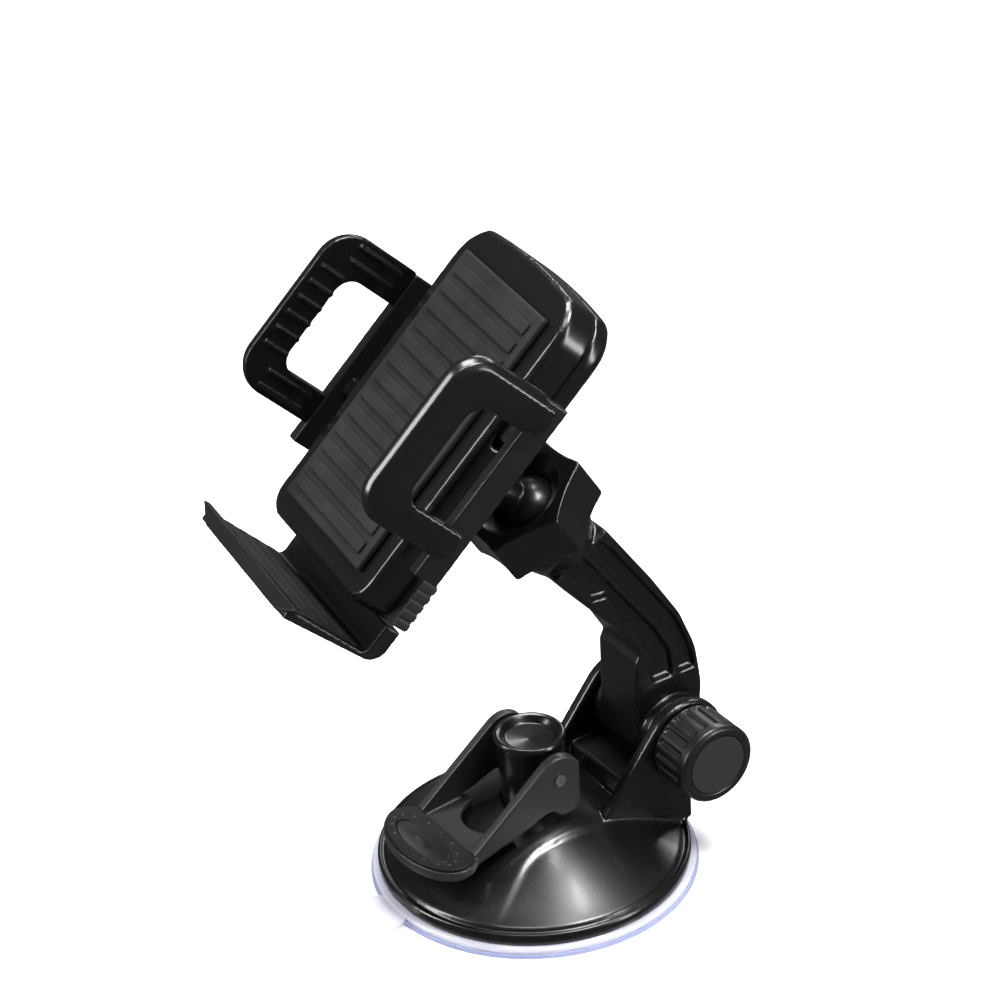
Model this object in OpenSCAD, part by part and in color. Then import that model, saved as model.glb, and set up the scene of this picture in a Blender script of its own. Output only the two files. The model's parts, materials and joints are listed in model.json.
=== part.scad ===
// Car phone mount: suction base, toothless swing arm, ball joint and clamping phone cradle.
// Millimetres. +Z is up, the lock lever faces -Y and the arm knob is on +X.
// The origin is the centre of the base, on the surface that the base sticks to.

/* [Suction base] */
// Radius of the sticky gel layer
gel_r = 40; // [37:0.5:48]
// Thickness of the gel layer
gel_t = 1; // [0.8:0.1:1.6]
// Thickness of the flexible suction disc
disc_t = 1.4; // [1:0.1:2]
// Height that the locked stem lifts the middle of the disc
disc_lift = 1.5; // [1:0.1:2]
// Radius of the disc's middle that is bonded to the stem plate
disc_centre_r = 8; // [6:0.5:9]
// Width of the pull tab
tab_w = 13; // [8:0.5:16]
// Length of the pull tab beyond the gel
tab_len = 9.2; // [6:0.5:14]
// Thickness of the pull tab
tab_t = 0.9; // [0.6:0.1:1.2]
// Sideways offset of the pull tab from the middle of the front
tab_x = -2; // [-10:0.5:10]

/* [Base housing] */
// Height of the flange band round the housing's foot
flange_h = 3.2; // [2.4:0.1:4.5]
// Inset of the flange from the gel's edge
flange_inset = 1.8; // [1:0.1:3]
// Width of the groove between flange and dome
groove_w = 1.3; // [0.8:0.1:2]
// Depth of that groove
groove_depth = 0.9; // [0.4:0.1:1.5]
// Height of the dome above the flange
dome_h = 13.4; // [11:0.2:16]
// Fullness of the dome, smaller is fuller
dome_power = 0.55; // [0.45:0.01:0.7]
// Wall of the housing
housing_wall = 2.2; // [1.6:0.1:2.6]
// Height of the raised saddle above the dome at its middle
saddle_h = 1; // [0.5:0.1:1.4]
// Half width of the saddle at its foot in front
saddle_front = 22; // [18:0.5:25]

/* [Ears and arm pivot] */
// Distance of the pivot behind the base centre
pivot_y = 35.4; // [33:0.2:38]
// Height of the pivot
pivot_z = 28.4; // [27:0.2:32]
// Radius of the round top of each ear
ear_r = 10.8; // [10.4:0.1:12]
// Thickness of each ear
ear_t = 3.2; // [2.6:0.1:4]
// Radius of the pivot bolt
bolt_r = 2.5; // [2:0.1:3]
// Radius of the bolt's hexagon head, across its corners
bolt_head_r = 4.6; // [4:0.1:5.2]
// Height of the bolt's head
bolt_head_h = 2.4; // [2:0.1:3]
// Thickness of each pivot washer
washer_t = 0.7; // [0.4:0.1:1]
// Radius of each pivot washer
washer_r = 8; // [6:0.5:9]

/* [Swing arm] */
// Radius of the arm's barrel at the pivot
barrel_r = 9.2; // [8.8:0.1:9.6]
// Width of the barrel
barrel_w = 21.8; // [20:0.2:24]
// Width of the arm above the barrel
arm_w = 16; // [14:0.5:18]
// Wall of the bush in the barrel
bush_wall = 1.2; // [0.8:0.1:1.8]
// Forward distance of the ball joint's centre from the base centre, negative in front
ball_y = 3.2; // [0:0.2:6]
// Height of the ball joint's centre
ball_z = 97.85; // [94:0.2:106]
// Lean of the arm's upper end from the vertical, towards the front
arm_lean = 31.8; // [28:0.2:36]
// Depth of the channels in the arm's sides
channel_depth = 1.6; // [0.6:0.1:1.8]
// Radius of the arm's collar inside the clamp nut
collar_r = 11.2; // [11:0.1:12]

/* [Ball joint] */
// Radius of the ball
ball_r = 8; // [7.6:0.1:8.3]
// Radius of the ball's neck
neck_r = 4; // [3.4:0.1:4.2]
// Radius of the clamp nut over its corners
nut_r = 16.8; // [16:0.1:19]
// Thickness of the clamp nut
nut_t = 12; // [11:0.2:14]
// Distance from the ball's centre to the nut's front face
nut_front = 7; // [6.4:0.1:7.6]
// Hollow of each side of the nut
nut_hollow = 1; // [0.4:0.1:1.4]
// Distance from the ball's centre to the face that the phone leans on
ball_reach = 44.6; // [42:0.2:50]

/* [Cradle pose] */
// Turn of the cradle about its sideways axis, negative leans it back
cradle_tilt = -44.5; // [-60:0.5:-30]
// Turn of the cradle about its front to back axis
cradle_roll = -1.2; // [-5:0.1:5]
// Turn of the cradle about the vertical
cradle_turn = -8.6; // [-15:0.1:15]

/* [Cradle housing] */
// Width of the cradle housing
case_w = 54; // [50:0.5:58]
// Height of the housing above the stud axis
case_up = 47.8; // [44:0.2:54]
// Height of the housing below the stud axis
case_down = 35.5; // [34.5:0.1:40]
// Depth of the housing from front to back
case_d = 15.5; // [15.5:0.1:18]
// Distance of the housing's front behind the phone
case_front = 2.5; // [2:0.1:4]
// Radius of the housing's upper corners
case_round = 11; // [8:0.5:14]
// Wall of the housing
case_wall = 2; // [1.6:0.1:2.2]
// Distance of the seam between the two shells behind the phone
seam_y = 11.3; // [11:0.1:12]
// Radius of the boss at the back that the ball's neck turns in
hub_r = 13; // [12:0.2:15]
// Length of that boss
hub_len = 9.5; // [8:0.2:11]

/* [Jaws] */
// Width of the phone held in the picture pose
phone_w = 67; // [62:0.5:72]
// Height of the upper end of the grips above the stud axis
grip_top = 27.6; // [26:0.2:30]
// Height of each grip from end to end
grip_len = 43.5; // [42:0.2:48]
// Reach of the grips in front of the phone's back
grip_reach = 21; // [18:0.2:24]
// Width of the grip's bars
grip_bar = 9; // [7:0.2:10]
// Thickness of the grips
grip_t = 4.2; // [3.6:0.1:5]
// Height of the ribs inside the grips
rib_h = 0.6; // [0.4:0.1:0.9]
// Thickness of the jaw bars
bar_t = 3.1; // [2.6:0.1:3.6]
// Depth of the jaw bars from front to back
bar_d = 6.8; // [6.4:0.1:9]
// Thickness of the racks from front to back
rack_t = 3.5; // [3:0.1:3.8]
// Height of each rack behind its teeth
rack_h = 4; // [3.4:0.1:4.2]
// Length of each rack past the middle
rack_past = 17; // [15:0.5:18]

/* [Pinion] */
// Module of the pinion and racks
tooth_m = 1; // [0.9:0.05:1.05]
// Teeth on the pinion
teeth = 12; // [12:4:12]
// Pressure angle of the teeth
pressure = 25; // [22:1:26]
// Play between the teeth
backlash = 0.3; // [0.2:0.05:0.4]
// Height of the pinion's centre above the stud axis
pinion_z = 6; // [5:0.2:7]

/* [Foot] */
// Height of the phone's lower edge, below the stud axis
phone_bottom = 42.9; // [42:0.1:46]
// Thickness of the foot's ledge
ledge_t = 2.5; // [2:0.1:3]
// Thickness of the rubber pad on the ledge
foot_pad_t = 0.8; // [0.5:0.1:1.2]
// Reach of the ledge in front of the phone's back
ledge_reach = 10; // [9:0.2:14]
// Width of the ledge
ledge_w = 51; // [46:0.5:52]
// Width of the lip along its upper edge
lip_w = 58; // [54:0.5:60]
// Width of the lip along its lower edge
lip_w_low = 43; // [38:0.5:46]
// Height of the lip above the phone's lower edge
lip_h = 0.4; // [0:0.1:2]
// Width of the foot's tongue inside the housing
tongue_w = 22; // [18:0.5:24]

/* [Lock lever] */
// Height of the lever's pin
pin_z = 30.5; // [30:0.1:32]
// Radius of the lever's pin
pin_r = 1.5; // [1.2:0.1:1.6]
// Distance between the lever's two arms
lever_gap = 20.8; // [20:0.2:23]
// Thickness of each lever arm
lever_t = 2.5; // [2:0.1:3]
// Radius of the lever arm's round end
lever_end_r = 6.3; // [5.8:0.1:6.6]
// Distance from the base centre to the straight edge of the finger pad
pad_back = 24.5; // [23:0.5:27]
// Height of the top of the finger pad
pad_z = 19; // [18:0.2:20]
// Width of the finger pad
pad_w = 31; // [28:0.5:34]
// Length of the finger pad from its straight edge to its tip
pad_len = 13.5; // [11:0.5:15]
// Thickness of the finger pad with its insert
pad_t = 3.3; // [2.8:0.1:4]

/* [Stem] */
// Radius of the stem where it slides in the housing
stem_r = 7.2; // [6.6:0.1:7.4]
// Radius of the stem's head
stem_head_r = 8.8; // [8:0.1:9.4]
// Height of the top of the stem
stem_top = 37.6; // [37:0.1:39]
// Radius of the plate that the stem is screwed to
plate_r = 12; // [11:0.5:14]
// Thickness of that plate
plate_t = 2; // [1.6:0.1:2.4]

/* [Knob] */
// Radius of the knob
knob_r = 10.2; // [9:0.1:12]
// Width of the knob along the pivot
knob_w = 12.6; // [11:0.2:15]
// Number of grooves round the knob
knob_grooves = 20; // [12:2:26]
// Radius of the knob's cap
cap_r = 7.8; // [7:0.1:8.2]

/* [Clearances] */
// Radial clearance of pins and shafts that turn
run_gap = 0.06; // [0.03:0.01:0.09]
// Clearance between faces that slide or pass each other
face_gap = 0.3; // [0.2:0.05:0.4]
// Clearance between the ball and its seats
seat_gap = 0.15; // [0.1:0.01:0.2]

/* [Hidden] */
fine = 96;
eps = 0.01;

base_top = gel_t + disc_t;
flange_r = gel_r - flange_inset;
flange_top = base_top + flange_h;
dome_foot_r = flange_r - 0.9 - groove_w;
dome_r = dome_foot_r + 0.6;
dome_foot = flange_top - 0.2;
cavity_r = dome_foot_r - housing_wall - 0.8;
guide_r = stem_r + run_gap;
washer_gap = 0.1;
ear_in = barrel_w / 2 + washer_t + 2 * washer_gap;
ear_out = ear_in + ear_t;
ear_front_y = pivot_y - 24.7;
ear_foot_y = pivot_y + 1.3;
plate_z = base_top + disc_lift;
stem_z = plate_z + plate_t;
guide_top = dome_foot + dome_h;
funnel_z = guide_top + saddle_h + 2;
lever_out = lever_gap / 2 + lever_t;
insert_t = 0.8;
knob_in = ear_out + face_gap;
knob_out = knob_in + knob_w;
insert_r = bolt_r + run_gap + 2;
bolt_end = knob_in + knob_w - 3.2;
bush_r = bolt_r + run_gap + bush_wall;
seat_in = ball_r + seat_gap;
seat_out = collar_r - 1.5;
collar_front = -1;
seat_front = -0.5;
seat_back = -6.6;
nut_bore = collar_r + run_gap;
nut_back = nut_front - nut_t;
lip_back = 0.4;
lip_front = 3.6;
case_back = case_front + case_d;
crown_r = 180;
inner_front = case_front + case_wall;
inner_back = case_back - case_wall;
rack_y = 6;
flange_stud_r = 9;
flange_stud_t = 2;
stud_neck_r = 5;
retainer_r = 12.2;
retainer_hole_r = retainer_r - 1.5;
retainer_t = 2;
jaw_in = phone_w / 2;
grip_in = jaw_in + rib_h;
grip_out = grip_in + grip_t;
bar_in = jaw_in + 0.2;
bar_out = bar_in + bar_t;
bar_y = 3;
pitch_r = tooth_m * teeth / 2;
addendum = 0.8 * tooth_m;
dedendum = tooth_m;
rack_band = addendum + dedendum + rack_h;
button_z = -28.2;
button_h = 12.4;
button_out = 2.6;
button_y = seam_y + 0.3;
button_d = 4.2;
pawl_x = 5;
pawl_z = -14;
pawl_r = 1.2;
ledge_z = -phone_bottom - foot_pad_t;
tongue_t = 2.2;
tongue_y = inner_back - face_gap - tongue_t;
tongue_top = -18;

// ---------- helpers ----------

// Outline with its corners rounded: each point is [x, y, corner radius].
function rounded(p, steps = 6) = [
    for (i = [0:len(p) - 1])
        let (
            a = p[(i + len(p) - 1) % len(p)],
            b = p[i],
            c = p[(i + 1) % len(p)],
            u = unit([a[0] - b[0], a[1] - b[1]]),
            v = unit([c[0] - b[0], c[1] - b[1]]),
            half = acos(max(-1, min(1, u * v))) / 2,
            r = b[2])
        each r == 0 ? [[b[0], b[1]]] : corner_arc([b[0], b[1]], u, v, half, r, steps)];

function unit(v) = v / norm(v);

function corner_arc(b, u, v, half, r, steps) =
    let (
        centre = b + unit(u + v) * r / sin(half),
        start = b + u * r / tan(half) - centre,
        end = b + v * r / tan(half) - centre,
        a0 = atan2(start[1], start[0]),
        turn = ((atan2(end[1], end[0]) - a0 + 540) % 360) - 180)
    [for (k = [0:steps]) centre + r * [cos(a0 + turn * k / steps), sin(a0 + turn * k / steps)]];

// A rectangle between two corners, with its own corners rounded.
module round_box(x0, y0, x1, y1, r) {
    translate([x0 + r, y0])
        square([x1 - x0 - 2 * r, y1 - y0]);
    translate([x0, y0 + r])
        square([x1 - x0, y1 - y0 - 2 * r]);
    for (x = [x0 + r, x1 - r], y = [y0 + r, y1 - r])
        translate([x, y])
            circle(r, $fn = 64);
}

// Height of the dome's outer surface at a distance from its axis.
function dome_z(r) = dome_foot + dome_h * pow((1 + cos(180 * min(r, dome_r) / dome_r)) / 2, dome_power);

// A coil spring along +Z, its wire swept round a helix.
module coil(r, wire, height, turns) {
    per_turn = 20;
    sides = 8;
    rings = round(per_turn * turns);
    points = [
        for (i = [0:rings])
            let (a = 360 * i / per_turn, z = wire + (height - 2 * wire) * i / rings)
            for (k = [0:sides - 1])
                let (b = 360 * k / sides, d = r + wire * cos(b))
                [d * cos(a), d * sin(a), z + wire * sin(b)]];
    faces = concat(
        [[for (k = [0:sides - 1]) k]],
        [[for (k = [sides - 1:-1:0]) rings * sides + k]],
        [for (i = [0:rings - 1], k = [0:sides - 1])
            let (n = (k + 1) % sides)
            [i * sides + k, (i + 1) * sides + k, (i + 1) * sides + n, i * sides + n]]);
    polyhedron(points, faces, convexity = 6);
}

// A plate lying in the YZ plane, from x0 to x1, drawn as [y, z] points.
module side_plate(x0, x1) {
    translate([x0, 0, 0])
        rotate([90, 0, 90])
            linear_extrude(x1 - x0)
                children();
}

// A plate facing the phone, from y0 to y1, drawn as [x, z] points.
module face_plate(y0, y1) {
    translate([0, y1, 0])
        rotate([90, 0, 0])
            linear_extrude(y1 - y0)
                children();
}

// A round bar along +X.
module x_bar(r, x0, x1, sides = fine) {
    translate([x0, 0, 0])
        rotate([0, 90, 0])
            cylinder(r = r, h = x1 - x0, $fn = sides);
}

// A round bar along +Y.
module y_bar(r, y0, y1, sides = fine) {
    translate([0, y0, 0])
        rotate([-90, 0, 0])
            cylinder(r = r, h = y1 - y0, $fn = sides);
}

// ---------- frames ----------

module at_pivot() {
    translate([0, pivot_y, pivot_z])
        children();
}

// +Z runs out of the arm's upper end, through the ball's centre.
module at_arm_end() {
    translate([0, ball_y, ball_z])
        rotate([arm_lean, 0, 0])
            children();
}

// +X is the phone's right, -Y is the phone's front, +Z runs up the phone.
module in_cradle() {
    translate([0, ball_y, ball_z])
        rotate([cradle_tilt, cradle_roll, cradle_turn])
            translate([0, -ball_reach, 0])
                children();
}

// ---------- suction base ----------

module gel_layer() {
    color("lightsteelblue")
        cylinder(r = gel_r, h = gel_t, $fn = 128);
}

module suction_disc() {
    color("lavender") {
        rotate_extrude($fn = 128)
            polygon([
                [0, gel_t + disc_lift],
                [disc_centre_r, gel_t + disc_lift],
                [disc_centre_r + 10, gel_t],
                [gel_r - 0.4, gel_t],
                [gel_r - 0.7, base_top],
                [disc_centre_r + 10, base_top],
                [disc_centre_r, base_top + disc_lift],
                [0, base_top + disc_lift]]);
        translate([tab_x, 0, gel_t])
            linear_extrude(tab_t)
                intersection() {
                    hull() {
                        translate([0, -gel_r - tab_len + tab_w / 2])
                            circle(tab_w / 2, $fn = 32);
                        translate([0, -gel_r + 2])
                            circle(tab_w * 0.35, $fn = 32);
                    }
                    translate([-tab_w, -gel_r - tab_len])
                        square([2 * tab_w, tab_len + 3]);
                }
    }
}

module dome_profile(raise) {
    steps = 20;
    polygon(concat(
        [[0, base_top], [dome_foot_r + 0.4, base_top]],
        [for (i = [0:steps])
            let (r = dome_foot_r * (1 - i / steps))
            [r, dome_z(r) + raise * (1 - r / dome_foot_r)]]));
}

module flange_profile() {
    polygon([
        [cavity_r, base_top],
        [flange_r, base_top],
        [flange_r, flange_top - 0.5],
        [flange_r - 0.5, flange_top],
        [flange_r - 0.9, flange_top],
        [flange_r - 0.9, flange_top - groove_depth],
        [dome_foot_r - 0.2, flange_top - groove_depth],
        [dome_foot_r - 0.2, base_top + 1],
        [cavity_r, base_top + 1]]);
}

module saddle_plan() {
    for (side = [-1, 1])
        scale([side, 1])
            polygon(rounded([
                [-1, ear_foot_y, 0], [ear_out, ear_foot_y, 0], [ear_out, -11.5, 16],
                [saddle_front + 1, -26, 0], [saddle_front + 6, -37, 0], [-1, -40, 0]], 12));
}

// The raised saddle, its edge stepped down in three low terraces.
module saddle() {
    for (k = [0:2])
        intersection() {
            rotate_extrude($fn = 128)
                dome_profile(saddle_h * (3 - k) / 3);
            linear_extrude(60)
                offset(delta = 0.45 * k)
                    saddle_plan();
        }
}

module ear_outline() {
    polygon([
        [ear_front_y, guide_top - 4],
        [pivot_y - ear_r * cos(42), pivot_z + ear_r * sin(42)],
        [pivot_y, pivot_z + ear_r],
        [pivot_y + ear_r * cos(20), pivot_z - ear_r * sin(20)],
        [ear_foot_y, pivot_z - ear_r - 5],
        [ear_foot_y, base_top + 2],
        [ear_front_y, base_top + 2]]);
    translate([pivot_y, pivot_z])
        circle(ear_r, $fn = fine);
}

module base_housing() {
    color([0.10, 0.10, 0.10])
        difference() {
            union() {
                rotate_extrude($fn = 128)
                    dome_profile(0);
                rotate_extrude($fn = 128)
                    flange_profile();
                saddle();
                for (side = [-1, 1])
                    side_plate(side * (ear_in + ear_out) / 2 - ear_t / 2,
                               side * (ear_in + ear_out) / 2 + ear_t / 2)
                        intersection() {
                            ear_outline();
                            translate([0, base_top])
                                square([flange_r * 2, 80]);
                        }
                side_plate(-ear_in - eps, ear_in + eps)
                    difference() {
                        translate([pivot_y - 16, base_top + 2])
                            square([ear_foot_y - pivot_y + 16, pivot_z - base_top - 10]);
                        translate([pivot_y, pivot_z])
                            circle(barrel_r + 2 * face_gap, $fn = fine);
                    }
            }
            translate([0, 0, base_top - 1])
                housing_cavity();
            cylinder(r = guide_r, h = 60, $fn = fine);
            ring_outside();
            at_pivot()
                x_bar(bolt_r + run_gap, -30, 30);
            at_pivot()
                x_bar(bolt_head_r + 0.1, -ear_out - 1, -ear_out + 1.4, 6);
        }
}

// Keeps the ears and the web inside the flange's circle.
module ring_outside() {
    difference() {
        translate([0, 0, base_top - 1])
            cylinder(r = gel_r + 30, h = flange_h + 1.01, $fn = fine);
        translate([0, 0, base_top - 2])
            cylinder(r = flange_r, h = flange_h + 3, $fn = 128);
    }
}

module housing_cavity() {
    steps = 14;
    top_r = stem_r + 5.6;
    rotate_extrude($fn = 128)
        polygon(concat(
            [[0, 0], [cavity_r, 0], [cavity_r, 1.6]],
            [for (i = [0:steps])
                let (r = cavity_r - 1.4 - (cavity_r - 1.4 - top_r) * i / steps)
                [r, dome_z(r + 1) - housing_wall - base_top + 1]],
            [[0, dome_z(top_r + 1) - housing_wall - base_top + 1]]));
}

module pivot_bolt() {
    color("silver")
        at_pivot() {
            x_bar(bolt_r, -ear_out + 1, bolt_end);
            x_bar(bolt_head_r, -ear_out - bolt_head_h + 1.4, -ear_out + 1.3, 6);
        }
}

module pivot_washers() {
    color("dimgray")
        for (side = [-1, 1])
            at_pivot()
                difference() {
                    x_bar(washer_r, side * (ear_in - washer_gap - washer_t / 2) - washer_t / 2,
                          side * (ear_in - washer_gap - washer_t / 2) + washer_t / 2);
                    x_bar(bolt_r + run_gap, -30, 30);
                }
}

// ---------- stem and lever ----------

module stem_spring() {
    color("silver")
        translate([0, 0, stem_z])
            coil(stem_r + 3, 0.5, dome_z(stem_r + 6.6) - housing_wall - stem_z, 4);
}

module stem_post() {
    color([0.08, 0.08, 0.08])
        difference() {
            rotate_extrude($fn = fine)
                polygon([
                    [0, stem_z],
                    [stem_r, stem_z],
                    [stem_r, funnel_z],
                    [stem_head_r - 0.2, stem_top - 1.8],
                    [stem_head_r, stem_top - 1],
                    [stem_head_r - 0.3, stem_top - 0.2],
                    [stem_head_r - 0.9, stem_top],
                    [stem_head_r - 1.7, stem_top - 0.3],
                    [stem_head_r - 3, stem_top - 1.6],
                    [0, stem_top - 2.2]]);
            translate([0, 0, pin_z])
                x_bar(pin_r, -20, 20);
            translate([0, 0, stem_z - 1])
                cylinder(r = 1.4, h = 9, $fn = 48);
        }
}

module stem_plate() {
    color("dimgray")
        translate([0, 0, plate_z])
            difference() {
                cylinder(r = plate_r, h = plate_t, $fn = fine);
                translate([0, 0, -1])
                    cylinder(r = 1.4, h = plate_t + 2, $fn = 48);
                translate([0, 0, -1])
                    cylinder(r = 2.7, h = 2.1, $fn = 48);
            }
}

module stem_screw() {
    color("silver")
        translate([0, 0, plate_z]) {
            cylinder(r = 2.6, h = 1.1, $fn = 48);
            cylinder(r = 1.4, h = 9, $fn = 48);
        }
}

module lever_pin() {
    color("silver")
        translate([0, 0, pin_z])
            x_bar(pin_r, -lever_out - 0.2, lever_out + 0.2, 64);
}

module pad_plan(inset) {
    front = -pad_back - pad_len + inset;
    side = pad_w / 2 - inset;
    intersection() {
        translate([0, -pad_back - 5])
            scale([1, (pad_len - 5 - inset) / side])
                circle(side, $fn = 64);
        translate([-pad_w, front])
            square([2 * pad_w, pad_len - 5 - inset]);
    }
    polygon([
        [-side, -pad_back - 5 - eps], [side, -pad_back - 5 - eps],
        [side - 0.4, -pad_back - 2.6], [side - 2.2, -pad_back - inset],
        [-side + 2.2, -pad_back - inset], [-side + 0.4, -pad_back - 2.6]]);
}

module lever_outline() {
    polygon(rounded([
        [-pad_back - 0.2, pad_z, 0],
        [-pad_back - 0.2, pad_z - pad_t, 0],
        [-10.3, pin_z - 10.6, 0],
        [-4.6, pin_z - 8.4, 1.2],
        [-2.4, pin_z - 8.2, 1.2],
        [0.4, pin_z - 10.4, 1.5],
        [5.6, pin_z - 10.4, 3],
        [5.6, pin_z, 0],
        [-lever_end_r * sin(40), pin_z + lever_end_r * cos(40), 0]]));
    translate([0, pin_z])
        circle(lever_end_r, $fn = fine);
}

module lock_lever() {
    color([0.2, 0.2, 0.21])
        difference() {
            union() {
                for (side = [-1, 1])
                    side_plate(side * (lever_gap + lever_t) / 2 - lever_t / 2,
                               side * (lever_gap + lever_t) / 2 + lever_t / 2)
                        intersection() {
                            lever_outline();
                            translate([-60, 0])
                                square([65.6, 60]);
                        }
                translate([0, 0, pad_z - pad_t])
                    linear_extrude(pad_t - insert_t)
                        pad_plan(0);
                lever_web();
            }
            translate([0, 0, pin_z])
                x_bar(pin_r + run_gap, -30, 30, 64);
        }
}

// Thin web between the lever's arms, hollowed round in front of the stem.
module lever_web() {
    difference() {
        side_plate(-lever_gap / 2 - 1, lever_gap / 2 + 1)
            polygon([
                [-pad_back - 1, pad_z - pad_t], [-pad_back - 1, pad_z - 1.6],
                [-12, pad_z - 0.4], [-12, pad_z - 1.9]]);
        translate([0, -11, 0])
            cylinder(r = lever_gap / 2 - 2.5, h = 60, $fn = fine);
        translate([-lever_gap / 2 + 2.5, -11, 0])
            cube([lever_gap - 5, 20, 60]);
    }
}

module lever_pad() {
    color([0.05, 0.05, 0.05])
        difference() {
            translate([0, 0, pad_z - insert_t])
                linear_extrude(insert_t)
                    pad_plan(0.4);
            translate([0, -pad_back - 6.9, pad_z - insert_t - 1])
                linear_extrude(3)
                    scale([1, 0.34])
                        circle(10.8, $fn = 64);
        }
}

// ---------- knob ----------

module knob_body() {
    color([0.12, 0.12, 0.12])
        at_pivot()
            difference() {
                union() {
                    x_bar(knob_r - 0.7, knob_in, knob_in + 0.6);
                    x_bar(knob_r, knob_in + 0.6, knob_out - 0.5);
                    x_bar(knob_r - 0.5, knob_out - 0.5, knob_out);
                }
                for (k = [0:knob_grooves - 1])
                    rotate([360 * (k + 0.5) / knob_grooves, 0, 0])
                        translate([0, 0, knob_r + 0.2])
                            x_bar(0.9, knob_in + 1.2, knob_out - 3, 16);
                x_bar(cap_r, knob_out - 1.2, knob_out + 1);
                x_bar(insert_r, knob_in - 1, knob_out - 2.6);
            }
}

module knob_insert() {
    color("gold")
        at_pivot()
            difference() {
                x_bar(insert_r, knob_in, knob_out - 2.6);
                x_bar(bolt_r + run_gap, knob_in - 1, knob_out);
            }
}

module knob_cap() {
    color([0.16, 0.16, 0.17])
        at_pivot()
            x_bar(cap_r - 0.15, knob_out - 1.2, knob_out - 0.1);
}

// ---------- arm ----------

module arm_outline() {
    polygon(rounded([
        [pivot_y - barrel_r, pivot_z + 0.5, 0],
        [pivot_y + barrel_r, pivot_z + 0.5, 0],
        [pivot_y + 9.8, pivot_z + 10.1, 20],
        [pivot_y + 8.2, pivot_z + 20.8, 20],
        [pivot_y + 3.8, pivot_z + 31.6, 20],
        [pivot_y - 4, pivot_z + 44, 20],
        [ball_y + 15.3, ball_z - 7, 0],
        [ball_y + 0.8, ball_z - 16, 0],
        [ball_y + 13.8, ball_z - 31.4, 0],
        [pivot_y - 12.9, pivot_z + 32.4, 4],
        [pivot_y - 8, pivot_z + 24.1, 1],
        [pivot_y - 9.2, pivot_z + 21.6, 2]]));
}

module arm_body() {
    color([0.07, 0.07, 0.07])
        difference() {
            union() {
                side_plate(-arm_w / 2, arm_w / 2)
                    arm_outline();
                at_pivot()
                    x_bar(barrel_r, -barrel_w / 2, barrel_w / 2);
                at_arm_end()
                    rotate_extrude($fn = fine)
                        polygon([
                            [0, -19], [7, -19], [collar_r - 0.2, -9], [collar_r, -8],
                            [collar_r, collar_front], [0, collar_front]]);
            }
            at_arm_end()
                rotate_extrude($fn = fine)
                    polygon([
                        [0, -8.8], [4.6, -8.8], [4.6, seat_back - 0.2],
                        [seat_out + run_gap, seat_back - 0.2],
                        [seat_out + run_gap, 2], [0, 2]]);
            at_pivot()
                x_bar(bush_r, -20, 20);
            for (side = [-1, 1])
                side_plate(side * arm_w / 2 - channel_depth, side * arm_w / 2 + channel_depth)
                    arm_channels();
        }
}

// Two hollow channels run down each side of the arm, with a rib between them.
module arm_channels() {
    polygon(rounded([
        [ball_y + 8.9, ball_z - 12.4, 0.8], [ball_y + 4.6, ball_z - 14.8, 0.8],
        [ball_y + 11.1, ball_z - 25.1, 0.6], [ball_y + 15.3, ball_z - 25.4, 0.4],
        [pivot_y - 9.7, pivot_z + 32, 3], [pivot_y - 4.3, pivot_z + 22.4, 0.6],
        [pivot_y - 4.8, pivot_z + 15, 1], [pivot_y + 1.4, pivot_z + 15, 0.6],
        [pivot_y + 0.6, pivot_z + 22, 6], [pivot_y - 3.4, pivot_z + 29.6, 6]], 4));
    polygon(rounded([
        [ball_y + 13.4, ball_z - 9.6, 0.8], [ball_y + 11.2, ball_z - 12.6, 0.8],
        [pivot_y - 2.1, pivot_z + 30.4, 6], [pivot_y + 2.2, pivot_z + 22.6, 6],
        [pivot_y + 3.2, pivot_z + 15, 0.6], [pivot_y + 8, pivot_z + 15, 0.6],
        [pivot_y + 6.8, pivot_z + 20.6, 12], [pivot_y + 2.6, pivot_z + 30.8, 12],
        [ball_y + 17.2, ball_z - 13.4, 2]], 4));
}

module arm_bush() {
    color("wheat")
        at_pivot()
            difference() {
                x_bar(bush_r, -barrel_w / 2, barrel_w / 2);
                x_bar(bolt_r + run_gap, -20, 20);
            }
}

// ---------- ball joint ----------

module ball_seat() {
    color("whitesmoke")
        at_arm_end()
            difference() {
                translate([0, 0, seat_back])
                    cylinder(r = seat_out, h = seat_front - seat_back, $fn = fine);
                sphere(r = seat_in, $fn = fine);
            }
}

module nut_plan() {
    flat_r = nut_r * cos(30) - nut_hollow;
    bow = pow(nut_r / 2, 2) / (2 * nut_hollow) + nut_hollow / 2;
    difference() {
        circle(nut_r - 0.5, $fn = 64);
        for (k = [0:5])
            rotate(60 * k + 30)
                translate([flat_r + bow, 0])
                    circle(bow, $fn = 160);
    }
}

module clamp_nut() {
    color([0.12, 0.12, 0.12])
        at_arm_end()
            difference() {
                translate([0, 0, nut_back])
                    linear_extrude(nut_t)
                        nut_plan();
                translate([0, 0, nut_back - 1])
                    cylinder(r = nut_bore, h = lip_back - nut_back + 1, $fn = fine);
                sphere(r = seat_in, $fn = fine);
                translate([0, 0, lip_front])
                    cylinder(r1 = sqrt(pow(seat_in, 2) - pow(lip_front, 2)) - eps,
                             r2 = nut_bore, h = nut_front - lip_front + eps, $fn = fine);
            }
}

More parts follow.
